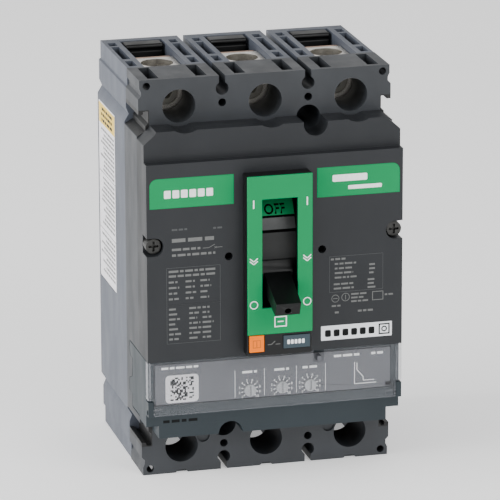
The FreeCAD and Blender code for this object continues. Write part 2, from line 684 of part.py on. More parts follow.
def make_handle():
    """Curved apron that closes the slot, with a collar and a lever, drawn level and then lowered."""
    shell = cut(rod("X", ("0", "0"), around("0", "apron_half"), "apron_radius"),
                [rod("X", ("0", "0"), around("0", "apron_half + 1"), "apron_radius - apron_thick")])
    keep_zone = new_body("apron_zone")
    zone = [("0", "0"), ("-10.9", "-40"), ("-45", "-40"), ("-45", "45"), ("-9.6", "45")]
    pad(keep_zone, "YZ", around("0", "apron_half + 2"), [zone])
    apron = doc.addObject("Part::Common", "apron")
    apron.Base = shell
    apron.Tool = keep_zone
    lever = new_body("lever")
    root = "apron_radius - 5.6"
    side = [("-(%s)" % root, "-4.4"), ("-lever_reach", "-lever_half_thick"),
            ("-lever_reach", "lever_half_thick"), ("-(%s)" % root, "3.3")]
    pad(lever, "YZ", around("0", "lever_root_half"), [side])
    taper = new_body("taper")
    plan = [("-lever_root_half", "-apron_radius + 6"), ("-lever_root_half", "-apron_radius"),
            ("-lever_tip_half", "-lever_reach"), ("lever_tip_half", "-lever_reach"),
            ("lever_root_half", "-apron_radius"), ("lever_root_half", "-apron_radius + 6")]
    pad(taper, "XY", ("-6", "6"), [plan])
    shaped = doc.addObject("Part::Common", "shaped_lever")
    shaped.Base = lever
    shaped.Tool = taper
    collar = new_body("collar")
    rise = [("-apron_radius + 2", "-5.2"), ("-collar_reach + 0.6", "-5.2"), ("-collar_reach", "-4.4"),
            ("-collar_reach", "2.8"), ("-collar_reach + 0.9", "3.9"), ("-apron_radius - 1", "4.6"),
            ("-apron_radius + 0.3", "6.2"), ("-apron_radius + 2", "6.2")]
    pad(collar, "YZ", around("0", "collar_half"), [rise])
    hole = rod("Y", ("0", "-0.8"), ("-lever_reach - 1", "-lever_reach + 4"), "1.3")
    handle = cut(fuse([apron, shaped, collar]), [hole])
    return keep("handle", turned(handle, "lever_drop", "pivot_depth", "pivot_z"))


def make_yoke():
    """Steel fork on the handle's pivot, carrying the handle and the outer spring ends."""
    legs = []
    outline = [("-22.3", "-4"), ("-22.3", "4"), ("-1", "2.6"), ("-1", "-2.6")]
    for span in both_sides("9.8", "11.3"):
        eye = rod("X", ("0", "0"), span, "2.9")
        leg = new_body("yoke_leg")
        pad(leg, "YZ", span, [outline])
        legs += [eye, leg]
    bridge = box(around("0", "11.3"), ("-22.3", "-20.3"), ("-4", "4"))
    pins = [rod("X", ("0", "0"), span, "2") for span in both_sides("11.2", "plate_out - 0.1")]
    return keep("handle_yoke", turned(fuse(legs + [bridge] + pins), "lever_drop", "pivot_depth", "pivot_z"))


def make_cradle():
    body = new_body("cradle_plate")
    outline = [("-40.6", "33"), ("-40.6", "38"), ("-46", "39"), ("-62", "34"), ("-62", "30"),
               ("-52.5", "29.5"), ("-50.5", "25.5"), ("-46.5", "25.5"), ("-44.5", "31")]
    pad(body, "YZ", around("0", "1.8"), [outline])
    pocket(body, "YZ", around("0", "2"), [], [(("-link_depth", "link_z"), "1.5 + running_gap")])
    pivot = rod("X", (minus("cradle_depth"), "cradle_z"), around("0", "plate_out - 0.1"), "2")
    return keep("cradle", fuse([body, pivot]))


def make_upper_links():
    """A pair of links with the cradle pin above and the toggle pin below."""
    pieces = []
    for span in both_sides("7.4", "8.9"):
        plate = new_body("upper_link_plate")
        pad(plate, "YZ", span, [rectangle(around("0", "2.2"), ("-upper_link - 2.2", "2.2"))])
        pieces.append(plate)
    pieces.append(rod("X", ("0", "0"), around("0", "9.4"), "1.5"))
    pieces.append(rod("X", ("0", "-upper_link"), around("0", "11.9"), "toggle_pin_radius"))
    return keep("upper_links", turned(fuse(pieces), minus("upper_tilt"), "link_depth", "link_z"))


def make_lower_links():
    """A pair of links from the rotor's drive pins, with open hooks for the toggle pin."""
    plates = []
    floor = "lower_link - toggle_pin_radius - 2.4"
    outline = [("-2", "-1.6"), ("2", "-1.6"), ("2.4", "0"), ("4.2", floor), ("4.2", "lower_link + 1.5"),
               ("1.9", "lower_link + 1.5"), ("1.9", floor), ("-2.0", "%s - 1" % floor), ("-2.4", "0")]
    for span in both_sides("10", "11.5"):
        plate = new_body("lower_link_plate")
        pad(plate, "YZ", span, [outline])
        pocket(plate, "YZ", span, [], [(("0", "0"), "drive_pin_radius + running_gap")])
        plates.append(turned(plate, "lower_tilt", "rotor_depth + drive_radius * cos(drive_angle * 1 deg)",
                             "drive_radius * sin(drive_angle * 1 deg)"))
    return keep("lower_links", group(plates))


def coil(turns, wire, radius, pitch):
    """A close stack of rings along Z that stands for a coil spring."""
    rings = []
    for turn in range(turns):
        ring = doc.addObject("Part::Torus", "ring")
        ring.setExpression("Radius1", bound(radius))
        ring.setExpression("Radius2", bound(wire))
        ring.setExpression("Placement.Base.z", bound("%d * (%s)" % (turn, pitch)))
        rings.append(ring)
    return fuse(rings)


def make_main_springs():
    """Two overcentre springs between the handle yoke and the toggle pin."""
    start = FreeCAD.Vector(0, -50.6, 14.0)
    finish = FreeCAD.Vector(0, -74.6, 7.6)
    springs = []
    for side in ENDS:
        spring = coil(17, "0.55", "2.0", "1.08")
        way = finish - start
        turn = FreeCAD.Rotation(FreeCAD.Vector(0, 0, 1), way)
        spring.Placement = FreeCAD.Placement(
            start + way * 0.16 + FreeCAD.Vector(side * 4.6, 0, 0), turn)
        springs.append(spring)
    return keep("main_springs", group(springs))


def make_trip_bar():
    """Bar that releases the latch, with an arm for the button and one for the plunger."""
    bar = rod("X", ("0", "0"), around("0", "plate_out - 0.1"), "1.5")
    arm = new_body("button_arm")
    outline = [("1.2", "1.2"), ("-1.2", "1.2"), ("-9.3", "-4"), ("-9.3", "-12"), ("-7.3", "-12"), ("-7.3", "-5"),
               ("1.2", "-1.2")]
    pad(arm, "YZ", ("-11.8", "-7.2"), [outline])
    rear = box(("2.5", "7.5"), ("0", "6"), ("0.4", "1.8"))
    return keep("trip_bar", turned(fuse([bar, arm, rear]), "0", "trip_bar_depth", "-trip_bar_z"))


# ---------------------------------------------------------------- trip unit
DIAL_PLACES = [("-9.8", "-45.0"), ("3.4", "-44.8"), ("15.0", "-44.8")]


def trip_unit_profile(gap):
    """Side outline of the trip unit, widened at the back by a gap for its seat."""
    rear = [("-54.4", "-unit_top"), ("-52.9", "-32.5"), ("-55.5", "-35.5"), ("-58.5", "-35.7"),
            ("-58.3", "-43.3"), ("-53.2", "-45.3"), ("-53.3", "-50.5"), ("-58.3", "-50.7"),
            ("-58.3", "-55.9"), ("-70.6", "-55.9"), ("-70.6", "-unit_low")]
    if gap == "0":
        return rear + [("-unit_front", "-unit_low"), ("-unit_front", "-unit_top")]
    seat = [("%s + %s" % (y, gap), z) for y, z in rear[:-3]]
    seat[0] = (seat[0][0], "-unit_top + %s" % gap)
    seat += [("-58.3 + %s" % gap, "-55.9 - %s" % gap), ("-72", "-55.9 - %s" % gap)]
    return seat + [("-72", "-unit_top + %s" % gap)]


def make_trip_unit_housing():
    body = new_body("trip_unit_housing")
    pad(body, "YZ", around("0", "case_width / 2"), [trip_unit_profile("0")])
    for side in ENDS:
        corner = [("%d * 46.9" % side, "-57.2"), ("%d * 53" % side, "-57.2"), ("%d * 53" % side, "-63"),
                  ("%d * 46.9" % side, "-63")]
        pocket(body, "XZ", depth_span("83", "70.6"), [corner])
        ear = rectangle(around("%d * 51.05" % side, "1.05"), ("-ear_low", "-ear_top"))
        pad(body, "XZ", depth_span("pane_front", "unit_front"), [ear])
    peg = [((minus("hinge_depth"), minus("hinge_z")), "peg_radius + 0.06")]
    for span in both_sides("49.9", "52.2"):
        pocket(body, "YZ", span, [], peg)
    room = rectangle(around("0", "48.6"), ("-49.0", "-31.6"))
    pocket(body, "XZ", depth_span("unit_front", "61"), [room])
    hinge_relief = rectangle(depth_span("83", "unit_front - 0.3"), ("-53", "-48.0"))
    pocket(body, "YZ", around("0", "49.9"), [hinge_relief])
    pocket(body, "XZ", depth_span("pane_front", "54"), [], [(("-mount_x", "-mount_z"), "mount_head")])
    return keep("trip_unit_housing", body)


def make_faceplate():
    body = new_body("trip_faceplate")
    pad(body, "XZ", depth_span("face_front", "unit_front - 1.6"), [rectangle(around("0", "48.4"), ("-48.4", "-31.8"))])
    pocket(body, "XZ", depth_span("face_front", "unit_front - 1.6"), [],
           [(place, "1.3") for place in DIAL_PLACES])
    pad(body, "XZ", depth_span("pane_front - 0.4", "face_front - 0.2"), [rectangle(("17.3", "18.9"), ("-34.2", "-32.2"))])
    return keep("trip_faceplate", body)


def make_dial(index):
    """Rotary setting switch with a screwdriver slot, on a stub shaft."""
    name = "setting_dial_%d" % (index + 1)
    place = DIAL_PLACES[index]
    body = new_body(name)
    pad(body, "XZ", depth_span("face_front + 1.5", "face_front + 0.1"), [], [(place, "dial_radius")])
    pad(body, "XZ", depth_span("face_front + 0.3", "unit_front - 2.6"), [], [(place, "1.22")])
    slot = rectangle(around(place[0], "0.4"), around(place[1], "2"))
    pocket(body, "XZ", depth_span("face_front + 1.5", "face_front + 0.8"), [slot])
    return keep(name, body)


def make_clear_cover():
    """Hinged window: a front pane with side skirts and two pegs at its lower corners."""
    body = new_body("cover_window")
    pane = [("case_width / 2", "-unit_top"), ("case_width / 2", "-45.0"), ("49.6", "-45.0"), ("49.6", "-pane_low")]
    pad(body, "XZ", depth_span("pane_front", "pane_front - pane_thick"), [two_way(pane)])
    for side in ENDS:
        skirt = rectangle(around("%d * 51.45" % side, "0.65"), ("-45", "-unit_top"))
        pad(body, "XZ", depth_span("pane_front - pane_thick + 0.2", "unit_front + 0.2"), [skirt])
    notch = rectangle(("15.5", "20.2"), ("-34.8", "-29"))
    pocket(body, "XZ", depth_span("pane_front", "pane_front - pane_thick"), [notch])
    pegs = [rod("X", (minus("hinge_depth"), minus("hinge_z")), span, "peg_radius")
            for span in both_sides("46", "51.6")]
    return keep("clear_cover", fuse([body] + pegs))


def make_circuit_board():
    board = box(around("0", "46"), depth_span("74.6", "73"), ("-48.6", "-32"))
    parts = [("-34", "12", "6"), ("-12", "14", "4"), ("10", "9", "5"), ("31", "16", "3")]
    chips = [box(around(x, "%s / 2" % wide), depth_span("73.1", "73 - %s" % tall), ("-46", "-35"))
             for x, wide, tall in parts]
    return keep("circuit_board", fuse([board] + chips))


def make_flux_shifter():
    coil_case = box(("-1", "11"), depth_span("50.6", "41"), ("-44", "-26"))
    bore = rod("Z", ("5", "-44.5"), ("-40", "-25"), "1.28")
    return keep("flux_shifter", cut(coil_case, [bore]))


def make_flux_plunger():
    body = new_body("flux_plunger")
    pad(body, "XY", ("-39.5", "-17.8"), [], [(("5", "-44.5"), "1.2")])
    return keep("flux_plunger", body)


def make_trip_button():
    cap = box(("-12.4", "-6.6"), depth_span("green_depth", "82"), ("-26.1", "-19.35"))
    stem = rod("Y", ("-9.5", "-22.7"), ("-82.1", "-58.2"), "1.5")
    return keep("trip_button", fuse([cap, stem]))


def make_button_spring():
    spring = coil(11, "0.5", "2.3", "0.98")
    spring.Placement = FreeCAD.Placement(
        FreeCAD.Vector(-9.5, -71.1, -22.7), FreeCAD.Rotation(FreeCAD.Vector(1, 0, 0), 90))
    return keep("trip_button_spring", spring)


# ---------------------------------------------------------------- assembly
def build():
    make_rear_base()
    make_bay_inserts()
    make_main_cover()
    make_accessory_cover()
    make_nameplate("nameplate_left", -1)
    make_nameplate("nameplate_right", 1)
    make_bezel()
    make_escutcheon()
    make_rating_plate()
    make_cover_screws()
    make_case_screws()
    make_lug_screws()
    make_terminal_nuts()
    for pole in POLES:
        make_lug(pole)
        make_line_terminal(pole)
        make_load_terminal(pole)
        make_arc_chutes(pole)
        make_current_transformer(pole)
        make_moving_contact(pole)
        make_rotor(pole)
    make_crossbar_rods()
    make_drive_pins()
    make_side_plates()
    make_handle()
    make_yoke()
    make_cradle()
    make_upper_links()
    make_lower_links()
    make_main_springs()
    make_trip_bar()
    make_trip_unit_housing()
    make_faceplate()
    for index in range(len(DIAL_PLACES)):
        make_dial(index)
    make_clear_cover()
    make_circuit_board()
    make_flux_shifter()
    make_flux_plunger()
    make_trip_button()
    make_button_spring()


def check_and_write():
    doc.recompute()
    for obj in doc.Objects:
        if {"Invalid", "Error"} & set(obj.State):
            raise RuntimeError("%s did not build: %s" % (obj.Label, obj.State))
    os.makedirs("parts", exist_ok=True)
    for old in os.listdir("parts"):
        if old.endswith(".step"):
            os.remove(os.path.join("parts", old))
    for obj in subparts:
        shape = obj.Shape
        if shape.isNull() or not shape.isValid():
            raise RuntimeError("%s has no valid shape" % obj.Label)
        shape.exportStep("parts/%s.step" % obj.Label)
    print("wrote", len(subparts), "sub-parts")


build()
check_and_write()
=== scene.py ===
"""Looks for the molded case breaker: materials, printed marks, labels, studio and camera.

Everything is in metres in the row frame: X right, Y towards the mounting panel, Z up.
Flat marks are given in millimetres on the face that carries them and built as thin reliefs.
"""
import json
import math
import random

import bmesh
import bpy
from mathutils import Matrix, Vector


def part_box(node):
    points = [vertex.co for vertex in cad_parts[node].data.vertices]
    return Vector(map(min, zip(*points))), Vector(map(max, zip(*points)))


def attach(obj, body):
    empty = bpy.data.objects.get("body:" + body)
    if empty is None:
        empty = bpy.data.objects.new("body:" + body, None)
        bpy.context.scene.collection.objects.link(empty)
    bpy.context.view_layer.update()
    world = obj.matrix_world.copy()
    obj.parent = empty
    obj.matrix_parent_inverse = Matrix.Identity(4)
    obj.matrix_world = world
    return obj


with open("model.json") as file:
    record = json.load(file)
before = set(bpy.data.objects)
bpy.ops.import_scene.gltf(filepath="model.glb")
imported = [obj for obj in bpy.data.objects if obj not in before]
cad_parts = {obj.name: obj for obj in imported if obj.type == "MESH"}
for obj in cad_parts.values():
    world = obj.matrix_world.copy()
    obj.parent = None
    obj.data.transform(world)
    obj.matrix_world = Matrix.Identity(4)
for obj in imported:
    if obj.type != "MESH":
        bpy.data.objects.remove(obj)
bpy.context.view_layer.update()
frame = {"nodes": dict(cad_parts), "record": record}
MM = 0.001

# faces that carry marks, in millimetres; the box of a node gives its face where nothing stands out of it
COVER_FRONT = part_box("nameplate_left")[0].y / MM
GREEN_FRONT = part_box("escutcheon")[0].y / MM
BEZEL_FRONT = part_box("handle_bezel")[0].y / MM
FACE_FRONT = -82.3
CHIN_FRONT = -82.0
LEFT_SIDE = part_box("rear_base")[0].x / MM
LABEL_RECESS = 0.2
LABEL_FLOOR = LEFT_SIDE + LABEL_RECESS

# the handle's pivot and the radius of its curved apron, in millimetres
PIVOT_Y, PIVOT_Z = -58.0, 14.0
APRON_RADIUS = 28.0

# how far marks reach into their face and stand out of it, in millimetres
MARK_SINK = 0.02
MARK_HEIGHT = 0.03
THIN_MARK = 0.02
BADGE_HEIGHT = 0.12
STICKER_HEIGHT = 0.06
LABEL_HEIGHT = 0.08

# the four hook pockets in the front shell's sides, given painted shade, as distances from the middle planes
HOOK_POCKET_ACROSS = (47.2, 60)
HOOK_POCKET_UP = (59.3, 69.3)


# ------------------------------------------------------------------ materials
def srgb(red, green, blue):
    """A display colour, 0 to 255, as linear light."""
    def linear(channel):
        value = channel / 255
        return value / 12.92 if value <= 0.04045 else ((value + 0.055) / 1.055) ** 2.4
    return (linear(red), linear(green), linear(blue), 1.0)


class Nodes:
    """A material's node tree with short calls for the nodes that repeat."""

    def __init__(self, name):
        self.material = bpy.data.materials.new(name)
        self.material.use_nodes = True
        self.tree = self.material.node_tree
        self.shader = self.tree.nodes["Principled BSDF"]
        self.place = self.tree.nodes.new("ShaderNodeTexCoord").outputs["Object"]

    def link(self, source, target):
        self.tree.links.new(source, target)

    def noise(self, scale, detail=3.0, stretch=None):
        """Noise over the object, in features per metre, optionally stretched along the axes."""
        node = self.tree.nodes.new("ShaderNodeTexNoise")
        node.inputs["Scale"].default_value = scale
        node.inputs["Detail"].default_value = detail
        place = self.place
        if stretch:
            mapping = self.tree.nodes.new("ShaderNodeMapping")
            mapping.inputs["Scale"].default_value = stretch
            self.link(place, mapping.inputs["Vector"])
            place = mapping.outputs["Vector"]
        self.link(place, node.inputs["Vector"])
        return node.outputs["Fac"]

    def span(self, source, low, high, start=0.3, end=0.7):
        """Map a noise value to a range of numbers."""
        node = self.tree.nodes.new("ShaderNodeMapRange")
        node.inputs["From Min"].default_value = start
        node.inputs["From Max"].default_value = end
        node.inputs["To Min"].default_value = low
        node.inputs["To Max"].default_value = high
        self.link(source, node.inputs["Value"])
        return node.outputs["Result"]

    def tint(self, source, dark, light):
        """A colour between two, driven by a value."""
        node = self.tree.nodes.new("ShaderNodeMix")
        node.data_type = "RGBA"
        node.inputs["A"].default_value = dark
        node.inputs["B"].default_value = light
        self.link(source, node.inputs["Factor"])
        return node.outputs["Result"]

    def times(self, first, second):
        node = self.tree.nodes.new("ShaderNodeMath")
        node.operation = "MULTIPLY"
        self.link(first, node.inputs[0])
        self.link(second, node.inputs[1])
        return node.outputs["Value"]

    def tinted(self, source, under, over):
        """Lays a colour over another colour's output where a value is 1."""
        node = self.tree.nodes.new("ShaderNodeMix")
        node.data_type = "RGBA"
        node.inputs["B"].default_value = over
        self.link(source, node.inputs["Factor"])
        self.link(under, node.inputs["A"])
        return node.outputs["Result"]

    def bump(self, source, distance, strength=1.0, under=None):
        node = self.tree.nodes.new("ShaderNodeBump")
        node.inputs["Strength"].default_value = strength
        node.inputs["Distance"].default_value = distance
        self.link(source, node.inputs["Height"])
        if under:
            self.link(under, node.inputs["Normal"])
        return node.outputs["Normal"]


def window(nodes, axis, low, high, blur=0.25):
    """1 where the distance from the middle plane of an axis lies between two sizes in millimetres."""
    split = nodes.tree.nodes.new("ShaderNodeSeparateXYZ")
    nodes.link(nodes.place, split.inputs["Vector"])
    size = nodes.tree.nodes.new("ShaderNodeMath")
    size.operation = "ABSOLUTE"
    nodes.link(split.outputs[axis], size.inputs[0])
    rise = nodes.span(size.outputs["Value"], 0, 1, (low - blur) * MM, low * MM)
    fall = nodes.span(size.outputs["Value"], 1, 0, high * MM, (high + blur) * MM)
    return nodes.times(rise, fall)


def shade(colour, factor):
    return tuple(min(1.0, c * factor) for c in colour[:3]) + (1.0,)


def plastic(name, colour, rough=0.45, grain=2600, depth=0.00003, contrast=0.06, specular=0.5,
            corners=None):
    """Moulded plastic: fine spark-eroded grain, faint flow mottling and uneven gloss.

    'corners' is a painted shade colour laid over the four hook pockets at the ends of the sides."""
    nodes = Nodes(name)
    mottle = nodes.span(nodes.noise(55, 4), 0, 1)
    base = nodes.tint(mottle, shade(colour, 1 - contrast), shade(colour, 1 + contrast))
    if corners:
        # painted shade: the hook pocket recesses are darkened in the colour
        pocket_shade_mask = nodes.times(window(nodes, "X", *HOOK_POCKET_ACROSS), window(nodes, "Z", *HOOK_POCKET_UP))
        base = nodes.tinted(pocket_shade_mask, base, corners)
    nodes.link(base, nodes.shader.inputs["Base Color"])
    rub = nodes.noise(120, 5, (1, 1, 0.35))
    nodes.link(nodes.span(rub, rough - 0.06, rough + 0.08), nodes.shader.inputs["Roughness"])
    wave = nodes.bump(nodes.noise(35, 2), 0.00005, 0.25)
    fine = nodes.bump(nodes.noise(grain, 2), depth, 0.5, wave)
    nodes.link(fine, nodes.shader.inputs["Normal"])
    nodes.shader.inputs["Specular IOR Level"].default_value = specular
    return nodes.material


def metal(name, colour, rough=0.35, stretch=(1, 1, 14), contrast=0.1):
    """Bare or plated metal with drawn lines along one axis and a little tarnish."""
    nodes = Nodes(name)
    tarnish = nodes.span(nodes.noise(140, 5), 0, 1)
    nodes.link(nodes.tint(tarnish, shade(colour, 1 - contrast), shade(colour, 1 + contrast)),
               nodes.shader.inputs["Base Color"])
    lines = nodes.noise(1500, 3, stretch)
    nodes.link(nodes.span(lines, rough - 0.08, rough + 0.12), nodes.shader.inputs["Roughness"])
    nodes.link(nodes.bump(lines, 0.00002, 0.4), nodes.shader.inputs["Normal"])
    nodes.shader.inputs["Metallic"].default_value = 1.0
    return nodes.material


def clear_plastic(name):
    """Slightly smoky polycarbonate, hazier where it is rubbed."""
    nodes = Nodes(name)
    smear = nodes.noise(70, 5, (1, 1, 0.5))
    nodes.link(nodes.tint(nodes.span(smear, 0, 1), srgb(186, 189, 196), srgb(202, 204, 210)),
               nodes.shader.inputs["Base Color"])
    nodes.link(nodes.span(smear, 0.07, 0.16), nodes.shader.inputs["Roughness"])
    weight = nodes.tree.nodes.new("ShaderNodeLayerWeight")
    weight.inputs["Blend"].default_value = 0.35
    nodes.link(nodes.span(weight.outputs["Facing"], 0.02, 0.6, 0.0, 1.0), nodes.shader.inputs["Alpha"])
    nodes.shader.inputs["Specular IOR Level"].default_value = 0.7
    return nodes.material


def ink(name, colour, rough=0.4, specular=0.3):
    """Printed ink: slightly uneven cover and a soft sheen."""
    nodes = Nodes(name)
    patchy = nodes.span(nodes.noise(900, 4), 0, 1)
    nodes.link(nodes.tint(patchy, shade(colour, 0.93), shade(colour, 1.04)),
               nodes.shader.inputs["Base Color"])
    nodes.link(nodes.span(nodes.noise(400, 3), rough - 0.05, rough + 0.08),
               nodes.shader.inputs["Roughness"])
    nodes.shader.inputs["Specular IOR Level"].default_value = specular
    return nodes.material


def paper(name, colour):
    """Coated paper label with a little fibre and wrinkle."""
    nodes = Nodes(name)
    fibre = nodes.span(nodes.noise(1800, 4, (1, 3, 1)), 0, 1)
    nodes.link(nodes.tint(fibre, shade(colour, 0.95), shade(colour, 1.03)), nodes.shader.inputs["Base Color"])
    nodes.link(nodes.bump(nodes.noise(60, 3), 0.00006, 0.5), nodes.shader.inputs["Normal"])
    nodes.link(nodes.span(fibre, 0.36, 0.5, 0, 1), nodes.shader.inputs["Roughness"])
    return nodes.material


FINISHES = {
    "case_grey": plastic("case_grey_plastic", srgb(74, 79, 89), 0.5, depth=0.00004, specular=0.45),
    # the front shell's hook pockets get a near-black painted shade
    "shell_charcoal": plastic("front_shell_plastic", srgb(45, 48, 52), 0.5, depth=0.00006, contrast=0.16,
                              specular=0.45, corners=srgb(12, 13, 14)),
    "cover_charcoal": plastic("cover_charcoal_plastic", srgb(35, 37, 40), 0.46, specular=0.3),
    "bezel_black": plastic("bezel_black_plastic", srgb(11, 12, 13), 0.42, specular=0.3),
    "plate_green": plastic("plate_green_plastic", srgb(0, 136, 80), 0.38, contrast=0.03, depth=0.00001,
                           specular=0.1),
    "slate_plate": plastic("slate_plate_plastic", srgb(52, 66, 74), 0.35, depth=0.00001, specular=0.3),
    "unit_slate": plastic("unit_slate_plastic", srgb(36, 45, 50), 0.45, specular=0.3),
    "handle_black": plastic("handle_black_plastic", srgb(7, 9, 9), 0.36, specular=0.22),
    "clear_plastic": clear_plastic("clear_cover_plastic"),
    "face_grey": plastic("face_grey_plastic", srgb(90, 92, 98), 0.4, depth=0.00001, contrast=0.03),
    "dial_dark": plastic("dial_plastic", srgb(170, 172, 175), 0.35, depth=0.00001),
    "button_orange": plastic("button_orange_plastic", srgb(255, 122, 0), 0.4, contrast=0.03, specular=0.1),
    "screw_black": metal("screw_black_oxide", srgb(66, 66, 65), 0.42, (1, 1, 1)),
    "screw_steel": metal("screw_zinc", srgb(150, 148, 140), 0.38, (1, 1, 1)),
    "lug_aluminium": metal("lug_aluminium", srgb(216, 212, 204), 0.3),
    "copper": metal("tinned_copper", srgb(184, 150, 128), 0.34),
    "fibre": plastic("arc_fibre", srgb(170, 160, 140), 0.7),
    "rotor_brown": plastic("rotor_moulding", srgb(96, 66, 48), 0.5),
    "core_dark": plastic("core_moulding", srgb(44, 44, 46), 0.5),
    "mechanism_steel": metal("mechanism_zinc", srgb(186, 184, 176), 0.32),
    "trip_bar_dark": plastic("trip_bar_moulding", srgb(34, 34, 35), 0.5),
    "board_green": plastic("circuit_board_mask", srgb(30, 84, 56), 0.35, depth=0.00001),
}
APRON_GREY = plastic("apron_charcoal", srgb(34, 35, 35), 0.45, specular=0.3)
INK_WHITE = ink("ink_white", srgb(250, 252, 252))
INK_GREY = ink("ink_grey", srgb(104, 105, 104))
INK_FAINT = ink("ink_faint", srgb(72, 74, 75))
INK_GREY_BAND = ink("ink_grey_band", srgb(66, 68, 68))
INK_DARK = ink("ink_dark", srgb(10, 12, 13), 0.5, 0.15)
INK_ORANGE = ink("ink_orange", srgb(196, 98, 14))
INK_BLACK = ink("ink_black", srgb(2, 2, 2), 0.8, 0.05)
INK_GREEN = ink("ink_green", srgb(0, 140, 82), 0.35, 0.1)
LABEL_WHITE = paper("label_white", srgb(226, 224, 228))
LABEL_YELLOW = paper("label_yellow", srgb(226, 190, 60))
BADGE_WHITE = paper("badge_white", srgb(236, 238, 242))


def round_edges(obj, width, segments=2):
    """Small moulding radii along every sharp edge."""
    weld = obj.modifiers.new("weld", "WELD")
    weld.merge_threshold = 0.000002
    bevel = obj.modifiers.new("radius", "BEVEL")
    bevel.width = width * MM
    bevel.segments = segments
    bevel.limit_method = "ANGLE"
    bevel.angle_limit = math.radians(38)
    bevel.use_clamp_overlap = True
    bevel.harden_normals = False
    normals = obj.modifiers.new("normals", "WEIGHTED_NORMAL")
    normals.keep_sharp = False
    normals.weight = 60


EDGE_RADII = {
    "rear_base": 0.35, "main_cover": 0.35, "accessory_cover": 0.4, "handle_bezel": 0.35, "escutcheon": 0.22,
    "nameplate_left": 0.15, "nameplate_right": 0.15, "trip_unit_housing": 0.3, "clear_cover": 0.25,
    "handle": 0.4, "trip_button": 0.4, "rating_plate": 0.12, "trip_faceplate": 0.15,
    "line_lug_screws": 0.3, "cover_screws": 0.15, "bay_inserts": 0.5,
}


def finish_cad_nodes():
    slots = {row["node"]: row["material_slot"] for row in frame["record"]["subparts"]}
    for name, obj in frame["nodes"].items():
        obj.data.materials.clear()
        obj.data.materials.append(FINISHES[slots[name]])
        if name in EDGE_RADII:
            round_edges(obj, EDGE_RADII[name])
        elif name.startswith(("line_lug", "setting_dial")):
            round_edges(obj, 0.2)


# ------------------------------------------------------------------ flat marks
def on_front(y):
    """Places (x, z, height) on a face that looks forward."""
    return lambda a, b, h: Vector((a, y - h, b)) * MM


def on_left(x):
    """Places (y, z, height) on the left side."""
    return lambda a, b, h: Vector((x - h, a, b)) * MM


def on_apron(x, angle, height):
    """Places (x, degrees above level, height) on the handle's curved apron."""
    radius = APRON_RADIUS + height
    turn = math.radians(angle)
    return Vector((x, PIVOT_Y - radius * math.cos(turn), PIVOT_Z + radius * math.sin(turn))) * MM


def bar(left, low, right, high):
    return [(left, low), (right, low), (right, high), (left, high)]


def outline_bars(left, low, right, high, width):
    """The four strips of a thin rectangular frame."""
    return [bar(left, low, right, low + width), bar(left, high - width, right, high),
            bar(left, low + width, left + width, high - width),
            bar(right - width, low + width, right, high - width)]


def ring(x, z, radius, width, steps=28, start=0.0, sweep=360.0):
    """Short four-sided pieces of a circular band."""
    pieces = []
    for i in range(steps):
        a, b = (math.radians(start + sweep * (i + k) / steps) for k in (0, 1))
        points = [(radius, a), (radius, b), (radius - width, b), (radius - width, a)]
        pieces.append([(x + r * math.cos(t), z + r * math.sin(t)) for r, t in points])
    return pieces


def disc(x, z, radius, steps=28):
    return [(x + radius * math.cos(2 * math.pi * i / steps), z + radius * math.sin(2 * math.pi * i / steps))
            for i in range(steps)]


def stroke(start, end, width):
    """A straight line of a given width as a four-sided outline."""
    a, b = Vector(start), Vector(end)
    side = (b - a).orthogonal().normalized() * width / 2
    return [tuple(a - side), tuple(b - side), tuple(b + side), tuple(a + side)]


def rounded(left, low, right, high, radius, steps=5):
    """A rectangle with round corners."""
    points = []
    corners = ((right - radius, high - radius, 0), (left + radius, high - radius, 90),
               (left + radius, low + radius, 180), (right - radius, low + radius, 270))
    for x, z, start in corners:
        for i in range(steps + 1):
            turn = math.radians(start + 90 * i / steps)
            points.append((x + radius * math.cos(turn), z + radius * math.sin(turn)))
    return points


def greeked(seed, left, top, width, rows, pitch, height, ragged=0.35):
    """Rows of short bars that stand for small print, so that nothing can be read."""
    draw = random.Random(seed)
    bars = []
    for row in range(rows):
        z = top - row * pitch
        x = left
        end = left + width * (1 - ragged * draw.random())
        while x < end:
            word = height * draw.uniform(1.2, 4.5)
            bars.append(bar(x, z - height, min(x + word, end), z))
            x += word + height * 0.7
    return bars


def ride_as_piece(name, mesh, material, body):
    """Turns a finished mesh into a named piece with one material that rides on a body."""
    bmesh.ops.recalc_face_normals(mesh, faces=mesh.faces)
    data = bpy.data.meshes.new(name)
    mesh.to_mesh(data)
    mesh.free()
    data.materials.append(material)
    piece = bpy.data.objects.new(name, data)
    bpy.context.scene.collection.objects.link(piece)
    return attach(piece, body)


def relief(name, outlines, place, material, body, height=MARK_HEIGHT):
    """Builds closed thin plates over a face, and lets them ride on a body."""
    mesh = bmesh.new()
    for outline in outlines:
        low = [mesh.verts.new(place(a, b, -MARK_SINK)) for a, b in outline]
        high = [mesh.verts.new(place(a, b, height)) for a, b in outline]
        count = len(outline)
        mesh.faces.new(high)
        mesh.faces.new(list(reversed(low)))
        for i in range(count):
            j = (i + 1) % count
            mesh.faces.new((low[i], low[j], high[j], high[i]))
    return ride_as_piece(name, mesh, material, body)


